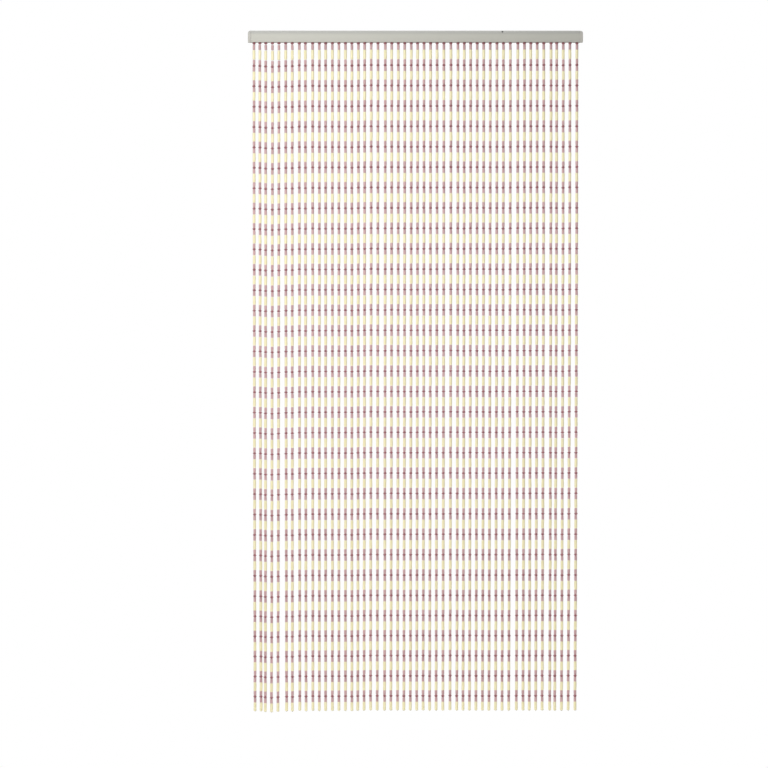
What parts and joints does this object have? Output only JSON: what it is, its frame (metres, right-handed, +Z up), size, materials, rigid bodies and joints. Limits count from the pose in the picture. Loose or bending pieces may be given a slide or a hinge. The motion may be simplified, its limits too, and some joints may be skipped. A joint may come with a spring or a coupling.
{
  "type": "bead curtain with rail",
  "caption": "Door-width bead curtain: a grey channel rail with rounded end caps, and rows of thin strands that hang from carrier strips in its underside slot.",
  "frame": {"origin": "middle of the rail's flat back face", "axes": "+Z up along the strands, +X along the rail towards the viewer's right, +Y towards the wall behind the rail; the curtain faces -Y"},
  "size_m": [1, 0.016, 2.0367],
  "materials": {
    "coated_metal": "warm grey satin coating on a drawn aluminium channel",
    "moulded_grey": "fine matt moulded grey",
    "beaded_strand": "soft gloss plastic tubes and beads in rose, plum and cream on a clear line",
    "rose_tube": "soft gloss rose plastic",
    "plum_bead": "glossy dark plum plastic",
    "cream_tube": "soft gloss cream plastic",
    "clear_line": "clear nylon line"
  },
  "bodies": {
    "root": {"rail": "coated_metal", "cap_left": "moulded_grey", "cap_right": "moulded_grey", "strands_1": "beaded_strand", "strands_2": "beaded_strand", "strands_3": "beaded_strand", "strands_4": "beaded_strand", "strands_5": "beaded_strand"}
  },
  "joints": []
}
